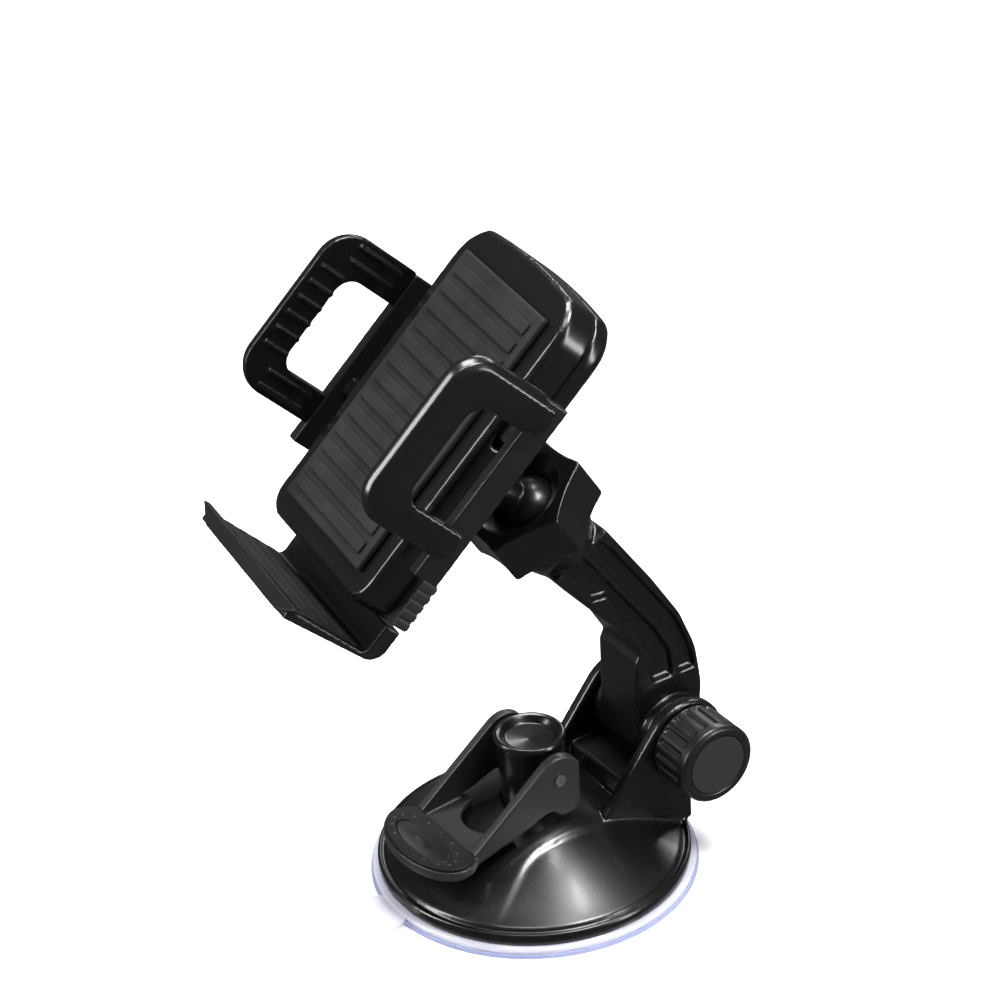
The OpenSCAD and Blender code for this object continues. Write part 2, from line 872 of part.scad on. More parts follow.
module ball_stud() {
    color([0.1, 0.1, 0.1])
        in_cradle()
            translate([0, ball_reach, 0])
                rotate([90, 0, 0]) {
                    sphere(r = ball_r, $fn = fine);
                    rotate_extrude($fn = fine)
                        polygon([
                            [0, 0], [neck_r, 0], [neck_r, ball_r + 7],
                            [stud_neck_r, ball_r + 8.6],
                            [stud_neck_r, ball_reach - inner_back + 0.1],
                            [flange_stud_r, ball_reach - inner_back + 0.1],
                            [flange_stud_r, ball_reach - inner_back + 0.1 + flange_stud_t],
                            [0, ball_reach - inner_back + 0.1 + flange_stud_t]]);
                }
}

// ---------- cradle housing ----------

module case_plan(inset) {
    w = case_w / 2 - inset;
    low = -case_down + inset;
    top = case_up - inset;
    r_low = 6 - inset;
    r_top = case_round - inset;
    intersection() {
        union() {
            translate([-w, low + r_low])
                square([2 * w, top - r_top - low - r_low]);
            translate([-w + r_low, low])
                square([2 * (w - r_low), r_low + 1]);
            translate([-w + r_top, low + r_low])
                square([2 * (w - r_top), top - low - r_low]);
            for (side = [-1, 1]) {
                translate([side * (w - r_low), low + r_low])
                    circle(r_low, $fn = 64);
                translate([side * (w - r_top), top - r_top])
                    circle(r_top, $fn = 64);
            }
        }
        translate([0, case_up - crown_r])
            circle(crown_r - inset, $fn = 240);
    }
}

module rack_slots() {
    for (side = [-1, 1])
        translate([side * case_w / 2 - 5, rack_y - face_gap,
                   pinion_z - rack_band / 2 - face_gap + side * (pitch_r - addendum + rack_band / 2)])
            cube([10, rack_t + 2 * face_gap, rack_band + 2 * face_gap]);
}

module screw_posts(r, y0, y1) {
    for (side = [-1, 1]) {
        translate([side * 13.8, 0, -case_down + 3.9])
            y_bar(r, y0, y1, 48);
        translate([side * (case_w / 2 - 6.5), 0, case_up - 9])
            y_bar(r, y0, y1, 48);
    }
}

module front_shell() {
    color([0.09, 0.09, 0.09])
        in_cradle()
            difference() {
                union() {
                    difference() {
                        union() {
                            face_plate(case_front, case_front + 0.8)
                                case_plan(0.8);
                            face_plate(case_front + 0.8, seam_y)
                                case_plan(0);
                        }
                        face_plate(inner_front, seam_y + 1)
                            case_plan(case_wall);
                    }
                    screw_posts(2.2, inner_front - eps, seam_y);
                    translate([0, 0, pinion_z])
                        y_bar(3.4, inner_front - eps, rack_y - 0.1, 48);
                    translate([pawl_x, 0, pawl_z])
                        y_bar(3, inner_front - eps, rack_y, 48);
                }
                rack_slots();
                translate([0, 0, pinion_z])
                    y_bar(1.5, inner_front - 1, seam_y, 48);
                translate([pawl_x, 0, pawl_z])
                    y_bar(pawl_r, inner_front - 1, seam_y, 48);
                screw_posts(0.9, inner_front, seam_y + 1);
            }
}

module rear_shell() {
    color([0.09, 0.09, 0.09])
        in_cradle()
            difference() {
                union() {
                    difference() {
                        union() {
                            face_plate(seam_y, case_back - 2.8)
                                case_plan(0);
                            face_plate(case_back - 2.8, case_back - 1.7)
                                case_plan(0.6);
                            face_plate(case_back - 1.7, case_back - 0.8)
                                case_plan(1.5);
                            face_plate(case_back - 0.8, case_back)
                                case_plan(2.9);
                        }
                        face_plate(seam_y - 1, inner_back)
                            case_plan(case_wall);
                    }
                    screw_posts(2.2, seam_y, inner_back + eps);
                    translate([0, case_back - eps, 0])
                        rotate([-90, 0, 0])
                            cylinder(r1 = hub_r, r2 = stud_neck_r + 3.5, h = hub_len, $fn = fine);
                    for (a = [90, 210, 330])
                        rotate([0, a, 0])
                            translate([retainer_hole_r, 0, 0])
                                y_bar(1.4, inner_back - flange_stud_t - 0.2, inner_back + eps, 32);
                    translate([14, inner_back - 4, button_z - 3])
                        cube([1.2, 4 + eps, 6]);
                }
                y_bar(stud_neck_r + run_gap, seam_y, case_back + hub_len + 1);
                for (a = [90, 210, 330])
                    rotate([0, a, 0])
                        translate([retainer_hole_r, 0, 0])
                            y_bar(0.8, inner_back - 4, inner_back + 1, 32);
                screw_posts(1.1, seam_y - 1, case_back + 1);
                screw_posts(1.8, case_back - 1.4, case_back + 1);
                translate([case_w / 2 - 4.8, button_y - 0.15, button_z - button_h / 2 - 0.15])
                    cube([8, button_d + 0.3, button_h + 0.3]);
                translate([-tongue_w / 2 - face_gap, tongue_y - face_gap, -case_down - 1])
                    cube([tongue_w + 2 * face_gap, tongue_t + 2 * face_gap, 6]);
            }
}

module front_pad() {
    color([0.05, 0.05, 0.05])
        in_cradle()
            face_plate(0, case_front)
                round_box(-case_w / 2 + 6, -case_down + 6, case_w / 2 - 6, case_up - 8, 5);
}

module stud_retainer() {
    y0 = inner_back - flange_stud_t - 0.2 - retainer_t;
    color("dimgray")
        in_cradle()
            difference() {
                y_bar(retainer_r, y0, y0 + retainer_t);
                y_bar(4, y0 - 1, y0 + retainer_t + 1);
                for (a = [90, 210, 330])
                    rotate([0, a, 0])
                        translate([retainer_hole_r, 0, 0])
                            y_bar(0.8, y0 - 1, y0 + retainer_t + 1, 32);
            }
}

module retainer_screws() {
    y0 = inner_back - flange_stud_t - 0.2 - retainer_t;
    color("silver")
        in_cradle()
            for (a = [90, 210, 330])
                rotate([0, a, 0])
                    translate([retainer_hole_r, 0, 0]) {
                        y_bar(1.4, y0 - 0.8, y0, 32);
                        y_bar(0.8, y0 - eps, y0 + 5, 32);
                    }
}

module shell_screws() {
    color("silver")
        in_cradle() {
            screw_posts(0.9, inner_front + 1, case_back - 1.4 + eps);
            screw_posts(1.7, case_back - 1.4, case_back - 0.5);
        }
}

// ---------- jaws and pinion ----------

// Involute pinion outline, with a tooth on the +X axis.
function involute(r, a) = r * [cos(a) + a * PI / 180 * sin(a), sin(a) - a * PI / 180 * cos(a)];

function turned(p, a) = [p[0] * cos(a) - p[1] * sin(a), p[0] * sin(a) + p[1] * cos(a)];

module pinion_plan() {
    base_r = pitch_r * cos(pressure);
    root_r = pitch_r - dedendum;
    tip_r = pitch_r + addendum;
    half = 90 / teeth - backlash / 2 / pitch_r * 180 / PI + (tan(pressure) * 180 / PI - pressure);
    a_tip = sqrt(pow(tip_r / base_r, 2) - 1) * 180 / PI;
    flank = [for (k = [0:6]) turned(involute(base_r, a_tip * k / 6), -half)];
    circle(root_r, $fn = 48);
    for (k = [0:teeth - 1])
        rotate(360 * k / teeth)
            polygon(concat(
                [[0, 0], [root_r * cos(half), -root_r * sin(half)]],
                flank,
                [for (k = [6:-1:0]) [flank[k][0], -flank[k][1]]],
                [[root_r * cos(half), root_r * sin(half)]]));
}

module pinion() {
    color("whitesmoke")
        in_cradle()
            translate([0, 0, pinion_z])
                difference() {
                    rotate([0, 90, 0])
                        face_plate(rack_y + 0.1, rack_y + rack_t - 0.1)
                            pinion_plan();
                    y_bar(1.5 + run_gap, 0, 20, 48);
                }
}

module pinion_pin() {
    color("silver")
        in_cradle()
            translate([0, 0, pinion_z])
                y_bar(1.5, inner_front - 1, rack_y + rack_t + 0.5, 48);
}

// Rack teeth as [x, z] points, pointing down, the pitch line at z = 0 and a gap at x = 0.
module rack_plan(x0, x1) {
    pitch = PI * tooth_m;
    first = ceil((x0 + 1) / pitch - 0.5);
    last = floor(10 / pitch);
    top = pitch / 4 - addendum * tan(pressure) - backlash / 4;
    foot = pitch / 4 + dedendum * tan(pressure) - backlash / 4;
    translate([x0, dedendum])
        square([x1 - x0, rack_h]);
    for (k = [first:last])
        translate([(k + 0.5) * pitch, 0])
            polygon([[-foot, dedendum + eps], [-top, -addendum], [top, -addendum], [foot, dedendum + eps]]);
}

// A jaw with its bar on +X.
module jaw_solid() {
    union() {
        translate([bar_in, bar_y, grip_top - 0.5 - grip_len - 4.5])
            cube([bar_t, bar_d, grip_len + 4.5]);
        translate([0, 0, pinion_z + pitch_r])
            face_plate(rack_y, rack_y + rack_t)
                rack_plan(-rack_past, bar_in + 0.5);
    }
}

module jaw_right() {
    color([0.1, 0.1, 0.1])
        in_cradle()
            jaw_solid();
}

module jaw_left() {
    pitch = PI * tooth_m;
    low = pinion_z - pitch_r - dedendum - rack_h;
    color([0.1, 0.1, 0.1])
        in_cradle() {
            translate([-bar_out, bar_y, grip_top - 0.5 - grip_len - 4.5])
                cube([bar_t, bar_d, grip_len + 4.5]);
            translate([0, 0, pinion_z - pitch_r])
                rotate([0, 180, 0])
                    face_plate(rack_y, rack_y + rack_t)
                        rack_plan(-rack_past, bar_in + 0.5);
            face_plate(rack_y, rack_y + rack_t)
                for (k = [0:6])
                    polygon([
                        [rack_past - 2 * k, low + eps], [rack_past - 2 * k - 2, low + eps],
                        [rack_past - 2 * k - 1.9, low - 0.9]]);
        }
}

module grip_outline(inset) {
    z1 = grip_top - inset;
    z0 = grip_top - grip_len + inset;
    intersection() {
        round_box(-grip_reach + inset, z0, bar_y + 20, z1, 8.5 - inset);
        translate([-grip_reach, z0])
            square([grip_reach + bar_y, grip_len]);
    }
}

module grip_window() {
    round_box(-grip_reach + grip_bar, grip_top - grip_len + 8, bar_y + 20, grip_top - 9.5, 4.5);
}

module grip_solid() {
    z1 = grip_top;
    z0 = grip_top - grip_len;
    rib_pitch = (grip_len - 17.5) / 6;
    difference() {
        hull() {
            side_plate(grip_in, grip_in + 1.6)
                grip_outline(0);
            side_plate(grip_in, grip_out - 1)
                grip_outline(0.6);
            side_plate(grip_in, grip_out)
                grip_outline(2);
        }
        side_plate(grip_in - 1, grip_out + 1)
            grip_window();
    }
    for (z = [z0 + 1.6, z1 - 8.1])
        translate([bar_out, bar_y - eps, z])
            cube([grip_out - bar_out, 3.6, 6.4]);
    for (k = [0:5])
        translate([jaw_in, -grip_reach + 1.6, z0 + 8.4 + rib_pitch * (k + 0.5)])
            cube([rib_h + eps, grip_bar - 1.6, 0.9]);
    for (z = [z0 + 1.6, z0 + 5.4, z1 - 6.6, z1 - 2.8])
        translate([jaw_in, -grip_reach + 7, z])
            cube([rib_h + eps, grip_reach - 7.5, 0.9]);
}

module grip_right() {
    color([0.05, 0.05, 0.05])
        in_cradle()
            grip_solid();
}

module grip_left() {
    color([0.05, 0.05, 0.05])
        in_cradle()
            mirror([1, 0, 0])
                grip_solid();
}

module jaw_spring() {
    color("silver")
        in_cradle()
            translate([-case_w / 2 + case_wall, rack_y + rack_t / 2,
                       pinion_z + pitch_r + dedendum + rack_h / 2])
                rotate([0, 90, 0])
                    coil(1.3, 0.3, case_w / 2 - case_wall - rack_past, 5);
}

// ---------- release button and latch ----------

module release_button() {
    x_in = case_w / 2 - 5;
    x_out = case_w / 2 + button_out;
    color([0.15, 0.15, 0.15])
        in_cradle() {
            translate([x_in + 2, button_y, button_z - button_h / 2])
                cube([x_out - x_in - 2.5, button_d, button_h]);
            for (k = [0:4])
                translate([x_out - 0.5 - eps, button_y, button_z - button_h / 2 + 0.4 + 2.5 * k])
                    cube([0.5, button_d, 1.6]);
            translate([x_in, button_y, button_z - button_h / 2 + 3])
                cube([2.4, button_d, button_h - 1]);
            translate([x_in - 1.8, rack_y + 0.4, button_z - 1.6])
                cube([4.2, button_y + 0.6 - rack_y - 0.4, 4]);
        }
}

module button_spring() {
    color("silver")
        in_cradle()
            translate([15.2, inner_back - 2, button_z])
                rotate([0, 90, 0])
                    coil(1.4, 0.3, case_w / 2 - 5 - 15.2, 4);
}

module latch_pawl() {
    tip_z = pinion_z - pitch_r - dedendum - rack_h - 1.1;
    color("whitesmoke")
        in_cradle()
            difference() {
                face_plate(rack_y + 0.2, rack_y + rack_t - 0.2)
                    polygon(rounded([
                        [pawl_x - 2.2, pawl_z - 2, 1.8],
                        [case_w / 2 - 8.4, button_z - 1, 0.6],
                        [case_w / 2 - 7.1, button_z + 0.4, 0.6],
                        [pawl_x + 4, pawl_z + 0.5, 1],
                        [pawl_x + 8.6, tip_z, 0],
                        [pawl_x + 7.2, tip_z, 0],
                        [pawl_x + 1.2, pawl_z + 2.4, 1],
                        [pawl_x - 2.2, pawl_z + 2.4, 1.8]], 4));
                translate([pawl_x, 0, pawl_z])
                    y_bar(pawl_r + run_gap, 0, 20, 48);
            }
}

module pawl_pin() {
    color("silver")
        in_cradle()
            translate([pawl_x, 0, pawl_z])
                y_bar(pawl_r, inner_front - 1, rack_y + rack_t + 0.5, 48);
}

// ---------- foot ----------

module foot_section() {
    polygon(rounded([
        [-ledge_reach, ledge_z, 0],
        [-ledge_reach, ledge_z - ledge_t, 0],
        [case_back - 0.2, ledge_z - ledge_t + 1.4, 4.2],
        [case_back - 0.2, -case_down - face_gap, 0],
        [tongue_y, -case_down - face_gap, 0],
        [tongue_y, ledge_z, 1.6]], 8));
}

module foot_bracket() {
    lip_top = -phone_bottom + lip_h;
    color([0.16, 0.16, 0.17])
        in_cradle() {
            side_plate(-ledge_w / 2, ledge_w / 2)
                foot_section();
            face_plate(-ledge_reach - 0.6, -ledge_reach + 1.8)
                polygon([
                    [-lip_w / 2, lip_top], [-lip_w_low / 2, ledge_z - ledge_t],
                    [lip_w_low / 2, ledge_z - ledge_t], [lip_w / 2, lip_top]]);
            translate([-tongue_w / 2, tongue_y, -case_down - face_gap - 1])
                cube([tongue_w, tongue_t, tongue_top + case_down + face_gap + 1]);
        }
}

module foot_pad() {
    color([0.05, 0.05, 0.05])
        in_cradle()
            translate([-ledge_w / 2 + 1.5, -ledge_reach + 1.8, ledge_z])
                cube([ledge_w - 3, ledge_reach + tongue_y - 4, foot_pad_t]);
}

gel_layer();
suction_disc();
base_housing();
pivot_bolt();
pivot_washers();
stem_spring();
stem_post();
stem_plate();
stem_screw();
lever_pin();
lock_lever();
lever_pad();
knob_body();
knob_insert();
knob_cap();
arm_body();
arm_bush();
clamp_nut();
ball_seat();
ball_stud();
front_shell();
rear_shell();
front_pad();
stud_retainer();
retainer_screws();
shell_screws();
pinion();
pinion_pin();
jaw_spring();
jaw_right();
grip_right();
jaw_left();
grip_left();
release_button();
button_spring();
latch_pawl();
pawl_pin();
foot_bracket();
foot_pad();
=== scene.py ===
import json
import math

import bmesh
import bpy
from mathutils import Matrix, Vector


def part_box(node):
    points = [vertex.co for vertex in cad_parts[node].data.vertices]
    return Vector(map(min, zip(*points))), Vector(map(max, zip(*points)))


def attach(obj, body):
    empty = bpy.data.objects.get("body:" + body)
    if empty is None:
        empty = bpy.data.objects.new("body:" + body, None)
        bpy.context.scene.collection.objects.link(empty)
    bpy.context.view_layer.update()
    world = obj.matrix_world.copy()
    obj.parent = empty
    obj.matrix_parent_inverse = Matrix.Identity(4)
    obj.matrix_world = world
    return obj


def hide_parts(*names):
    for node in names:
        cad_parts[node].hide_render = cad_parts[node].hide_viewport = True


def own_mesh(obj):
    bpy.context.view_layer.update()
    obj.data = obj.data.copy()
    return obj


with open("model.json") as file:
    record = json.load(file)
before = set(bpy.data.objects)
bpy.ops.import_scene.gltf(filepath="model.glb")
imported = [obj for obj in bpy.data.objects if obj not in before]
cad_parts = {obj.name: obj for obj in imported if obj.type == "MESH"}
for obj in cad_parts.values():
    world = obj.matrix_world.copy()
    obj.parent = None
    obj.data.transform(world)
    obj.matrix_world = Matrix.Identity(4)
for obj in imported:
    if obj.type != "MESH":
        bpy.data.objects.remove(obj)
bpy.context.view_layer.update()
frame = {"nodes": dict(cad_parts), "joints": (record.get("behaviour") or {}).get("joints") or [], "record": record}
nodes = frame["nodes"]
joints = {joint["name"]: joint for joint in frame["joints"]}
bodyOf = {node: body for body, members in frame["record"]["behaviour"]["bodies"].items()
          for node in members}
slotOf = {part["node"]: part["material_slot"] for part in frame["record"]["subparts"]}
mm = 0.001

cameraSetup = {
    "aim": (0, -0.00498, 0.10335),
    "distance": 0.8269,
    "azimuth": 58.05,
    "elevation": 30.26,
    "roll": -2.82,
    "lens": 129.88,
    "sensorWidth": 36,
    "nearest": 0.05,
    "farthest": 50,
}

studio = {
    "floorSize": 12,
    "floorTone": (0.93, 0.93, 0.93),
    "floorToneTwo": (0.96, 0.96, 0.96),
    "floorGrain": 25,
    "floorRough": 0.8,
    "skyTone": (1, 1, 1, 1),
    "skyStrength": 0.1,
    "target": (0, 0, 0.08),
}

# where each soft box shines from, in degrees, how far off it stands, its width and height, its power
lights = {
    "overheadPanel": {"azimuth": 238, "elevation": 74, "distance": 2.2, "size": (1.0, 1.0), "power": 62},
    "domePanel": {"azimuth": 122, "elevation": 66, "distance": 1.0, "size": (0.34, 0.3), "power": 11},
    "rightPanel": {"azimuth": 118, "elevation": 8, "distance": 1.0, "size": (0.16, 0.9), "power": 7},
    "leftPanel": {"azimuth": -24, "elevation": 26, "distance": 1.0, "size": (0.2, 0.9), "power": 10},
    "frontStrip": {"azimuth": 40, "elevation": 74, "distance": 1.0, "size": (0.4, 0.12), "power": 2.5},
    "rearPanel": {"azimuth": 215, "elevation": 26, "distance": 1.2, "size": (0.7, 0.16), "power": 3},
}


def directionFrom(azimuth, elevation):
    a, e = math.radians(azimuth), math.radians(elevation)
    return Vector((math.sin(a) * math.cos(e), -math.cos(a) * math.cos(e), math.sin(e)))


def addObject(name, data):
    made = bpy.data.objects.new(name, data)
    bpy.context.scene.collection.objects.link(made)
    return made


def setUpCamera(setup):
    back = directionFrom(setup["azimuth"], setup["elevation"])
    camera = addObject("mainCamera", bpy.data.cameras.new("mainCamera"))
    camera.data.lens = setup["lens"]
    camera.data.sensor_width = setup["sensorWidth"]
    camera.data.clip_start, camera.data.clip_end = setup["nearest"], setup["farthest"]
    camera.rotation_mode = "QUATERNION"
    turn = Matrix.Rotation(math.radians(setup["roll"]), 3, "Z").to_quaternion()
    camera.rotation_quaternion = (-back).to_track_quat("-Z", "Y") @ turn
    camera.location = Vector(setup["aim"]) + back * setup["distance"]
    bpy.context.scene.camera = camera


def setUpStudio():
    world = bpy.data.worlds.new("studioSky")
    world.use_nodes = True
    sky = world.node_tree.nodes["Background"]
    sky.inputs["Color"].default_value = studio["skyTone"]
    sky.inputs["Strength"].default_value = studio["skyStrength"]
    bpy.context.scene.world = world
    bpy.context.scene.view_settings.view_transform = "Standard"
    target = Vector(studio["target"])
    for name, light in lights.items():
        lamp = bpy.data.lights.new(name, "AREA")
        lamp.shape = "RECTANGLE"
        lamp.size, lamp.size_y = light["size"]
        lamp.energy = light["power"]
        panel = addObject(name, lamp)
        shineFrom = directionFrom(light["azimuth"], light["elevation"])
        panel.location = target + shineFrom * light["distance"]
        panel.rotation_mode = "QUATERNION"
        panel.rotation_quaternion = (-shineFrom).to_track_quat("-Z", "Y")


class Wire:  # an output socket that can be used in sums
    def __init__(self, sheet, socket):
        self.sheet, self.socket = sheet, socket

    def sum(self, operation, first, second):
        return self.sheet.add("ShaderNodeMath", {"operation": operation}, {0: first, 1: second})

    def __add__(self, other):
        return self.sum("ADD", self, other)

    def __radd__(self, other):
        return self.sum("ADD", other, self)

    def __sub__(self, other):
        return self.sum("SUBTRACT", self, other)

    def __rsub__(self, other):
        return self.sum("SUBTRACT", other, self)

    def __mul__(self, other):
        return self.sum("MULTIPLY", self, other)

    def __rmul__(self, other):
        return self.sum("MULTIPLY", other, self)


class Sheet:  # one material's nodes, with its Principled shader
    def __init__(self, name):
        self.material = bpy.data.materials.new(name)
        self.material.use_nodes = True
        self.tree = self.material.node_tree
        self.shader = self.tree.nodes["Principled BSDF"]
        self.place = self.add("ShaderNodeTexCoord", out="Object")

    def add(self, kind, settings=None, values=None, out=0):
        node = self.tree.nodes.new(kind)
        for key, value in (settings or {}).items():
            setattr(node, key, value)
        self.feed(node, values or {})
        return Wire(self, node.outputs[out])

    def feed(self, node, values):
        for key, value in values.items():
            if isinstance(value, Wire):
                self.tree.links.new(value.socket, node.inputs[key])
            else:
                node.inputs[key].default_value = value

    def noise(self, scale, detail=3.0, roughness=0.5, stretch=(1, 1, 1)):
        place = self.add("ShaderNodeMapping", None, {"Vector": self.place, "Scale": stretch})
        return self.add("ShaderNodeTexNoise", None,
                        {"Vector": place, "Scale": scale, "Detail": detail, "Roughness": roughness})

    def mixTone(self, factor, first, second):
        return self.add("ShaderNodeMix", {"data_type": "RGBA"},
                        {0: factor, 6: (*first, 1), 7: (*second, 1)}, out=2)

    def mask(self, wire, low, high):
        return self.add("ShaderNodeMapRange", {"clamp": True},
                        {"Value": wire, "From Min": low, "From Max": high})

    def bump(self, height, strength, depth):
        return self.add("ShaderNodeBump", None,
                        {"Height": height, "Strength": strength, "Distance": depth})

    def finish(self, **values):
        self.feed(self.shader, values)
        return self.material


# what all the moulded plastics share: noise scales, how marks and smudges are cut out, and their heights
mouldWear = {"flowScale": 60, "flowStretch": (1, 1, 5), "flowHeight": 0.3,
             "markScale": 160, "markStretch": (1, 6, 1), "markBand": (0.6, 0.78), "markHeight": 0.1,
             "smudgeScale": 45, "smudgeBand": (0.45, 0.75)}


def mouldedPlastic(name, look):
    # moulded plastic: a tone that drifts a little, a fine skin, flow lines and faint handling marks
    sheet = Sheet(name)
    drift = sheet.noise(look["driftScale"], 2)
    skin = sheet.noise(look["skinScale"], 3, 0.6)
    flow = sheet.noise(mouldWear["flowScale"], 3, 0.5, mouldWear["flowStretch"])
    scuffs = sheet.noise(mouldWear["markScale"], 4, 0.7, mouldWear["markStretch"])
    marks = sheet.mask(scuffs, *mouldWear["markBand"])
    smudge = sheet.mask(sheet.noise(mouldWear["smudgeScale"], 3, 0.55), *mouldWear["smudgeBand"])
    tone = sheet.mixTone(drift, look["tone"], look["toneTwo"])
    rough = (look["rough"] + (drift - 0.5) * look["roughDrift"] + marks * look["markRough"]
             + smudge * look["smudgeRough"])
    height = skin + flow * mouldWear["flowHeight"] - marks * mouldWear["markHeight"]
    return sheet.finish(**{"Base Color": tone, "Roughness": rough,
                           "Normal": sheet.bump(height, look["skinStrength"], look["skinDepth"]),
                           "Coat Weight": look["coat"], "Coat Roughness": look["coatRough"],
                           "Specular IOR Level": look["specular"]})


def turnedMetal(name, look):
    # metal with fine marks along its turning and a slight stain
    sheet = Sheet(name)
    lines = sheet.noise(look["lineScale"], 2, 0.7, look["stretch"])
    stain = sheet.noise(look["stainScale"], 3)
    tone = sheet.mixTone(stain, look["tone"], look["toneTwo"])
    return sheet.finish(**{"Base Color": tone, "Roughness": look["rough"] + lines * look["roughDrift"],
                           "Metallic": 1.0,
                           "Normal": sheet.bump(lines, look["lineStrength"], look["lineDepth"])})


def softRubber(name, look):
    # matt rubber with a fine grain and a dusty bloom
    sheet = Sheet(name)
    grain = sheet.noise(look["grainScale"], 2, 0.6)
    bloom = sheet.noise(look["bloomScale"], 4, 0.6)
    tone = sheet.mixTone(sheet.mask(bloom, *look["bloomBand"]), look["tone"], look["toneTwo"])
    return sheet.finish(**{"Base Color": tone,
                           "Roughness": look["rough"] + (bloom - 0.5) * look["roughDrift"],
                           "Normal": sheet.bump(grain, look["grainStrength"], look["grainDepth"]),
                           "Specular IOR Level": look["specular"]})


def clearLayer(name, look):
    # soft clear sheet: part of the light passes, the rest scatters in a tinted body
    sheet = Sheet(name)
    cloud = sheet.noise(look["cloudScale"], 3)
    ripple = sheet.noise(look["rippleScale"], 2)
    tone = sheet.mixTone(cloud, look["tone"], look["toneTwo"])
    return sheet.finish(**{"Base Color": tone, "Roughness": look["rough"] + ripple * look["roughDrift"],
                           "Alpha": look["alpha"] + (cloud - 0.5) * look["alphaDrift"],
                           "Normal": sheet.bump(ripple, look["rippleStrength"], look["rippleDepth"]),
                           "Coat Weight": look["coat"], "Coat Roughness": look["coatRough"],
                           "IOR": look["bending"]})


glossLook = {"tone": (0.0022, 0.0022, 0.0024), "toneTwo": (0.0042, 0.0042, 0.0044), "driftScale": 35,
             "skinScale": 500, "skinStrength": 0.05, "skinDepth": 0.00003, "rough": 0.25,
             "roughDrift": 0.05, "markRough": 0.03, "smudgeRough": 0.04, "coat": 0.2, "coatRough": 0.12,
             "specular": 0.5}
satinLook = dict(glossLook, tone=(0.0045, 0.0045, 0.0048), toneTwo=(0.0075, 0.0075, 0.008),
                 skinScale=2600, skinStrength=0.07, skinDepth=0.00004, rough=0.3, coat=0.08,
                 coatRough=0.15, specular=0.45)
nutLook = dict(glossLook, rough=0.28, coat=0.15)
ballLook = dict(glossLook, rough=0.28, coat=0.1)
greyLook = dict(satinLook, tone=(0.012, 0.0123, 0.0132), toneTwo=(0.018, 0.018, 0.0195), rough=0.36,
                specular=0.5)
innerLook = dict(satinLook, tone=(0.03, 0.03, 0.03), toneTwo=(0.04, 0.04, 0.04))
insertLook = dict(satinLook, tone=(0.003, 0.003, 0.003), toneTwo=(0.005, 0.005, 0.005), rough=0.4,
                  coat=0.0, specular=0.3)
nylonLook = dict(satinLook, tone=(0.62, 0.60, 0.54), toneTwo=(0.70, 0.68, 0.62), rough=0.45, coat=0.0)
steelLook = {"tone": (0.55, 0.55, 0.56), "toneTwo": (0.42, 0.42, 0.43), "stainScale": 90,
             "lineScale": 700, "stretch": (1, 8, 1), "lineStrength": 0.25, "lineDepth": 0.00003,
             "rough": 0.24, "roughDrift": 0.2}
springLook = dict(steelLook, rough=0.16)
brassLook = dict(steelLook, tone=(0.66, 0.47, 0.20), toneTwo=(0.52, 0.36, 0.14))
rubberLook = {"tone": (0.008, 0.008, 0.008), "toneTwo": (0.016, 0.016, 0.016), "grainScale": 3200,
              "grainStrength": 0.4, "grainDepth": 0.00008, "bloomScale": 60, "bloomBand": (0.35, 0.7),
              "rough": 0.62, "roughDrift": 0.2, "specular": 0.2}
gelLook = {"tone": (0.42, 0.48, 0.86), "toneTwo": (0.56, 0.60, 0.92), "alpha": 0.55, "alphaDrift": 0.12,
           "cloudScale": 70, "rippleScale": 420, "rippleStrength": 0.15, "rippleDepth": 0.00006,
           "rough": 0.16, "roughDrift": 0.1, "coat": 0.5, "coatRough": 0.1, "bending": 1.41}
discLook = dict(gelLook, tone=(0.86, 0.86, 0.97), toneTwo=(0.92, 0.92, 0.99), alpha=0.5)

finishes = {
    "gloss_black": mouldedPlastic("glossBlack", glossLook),
    "satin_black": mouldedPlastic("satinBlack", satinLook),
    "satin_grey": mouldedPlastic("satinGrey", greyLook),
    "nut_black": mouldedPlastic("nutBlack", nutLook),
    "ball_black": mouldedPlastic("ballBlack", ballLook),
    "dark_plastic": mouldedPlastic("darkPlastic", innerLook),
    "lever_grey": mouldedPlastic("leverGrey", greyLook),
    "pad_insert": mouldedPlastic("padInsert", insertLook),
    "steel": turnedMetal("pinSteel", steelLook),
    "spring": turnedMetal("springWire", springLook),
    "brass": turnedMetal("insertBrass", brassLook),
    "washer": softRubber("washerFibre", rubberLook),
    "bush": mouldedPlastic("bushNylon", nylonLook),
    "gear": mouldedPlastic("gearNylon", nylonLook),
    "rubber": softRubber("padRubber", rubberLook),
    "gel": clearLayer("gelLayer", gelLook),
    "disc": clearLayer("discSheet", discLook),
}
print("finishes made")

for nodeName, node in nodes.items():
    node.data.materials.clear()
    node.data.materials.append(finishes[slotOf[nodeName]])


def declare(piece, nodeName, standsFor=True):
    piece.data.materials.clear()
    piece.data.materials.append(finishes[slotOf[nodeName]])
    if standsFor:
        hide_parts(nodeName)
    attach(piece, bodyOf[nodeName])
    return piece


def bakeModifiers(piece):
    # turns a piece's modifiers into its mesh
    bpy.context.view_layer.update()
    solved = piece.evaluated_get(bpy.context.evaluated_depsgraph_get())
    shaped = bpy.data.meshes.new_from_object(solved)
    piece.modifiers.clear()
    piece.data = shaped
    for face in shaped.polygons:
        face.use_smooth = True


def softenNode(name, rounding):
    # a moulded skin over a frame node: its surface is rebuilt finely and its edges are eased
    piece = addObject(name + "Skin", nodes[name].data.copy())
    rebuild = piece.modifiers.new("rebuild", "REMESH")
    rebuild.mode = "VOXEL"
    rebuild.voxel_size = rounding["cell"] * mm
    ease = piece.modifiers.new("ease", "SMOOTH")
    ease.factor = 0.5
    ease.iterations = rounding["passes"]
    thin = piece.modifiers.new("thin", "DECIMATE")
    thin.ratio = rounding["share"]
    bakeModifiers(piece)
    declare(piece, name)


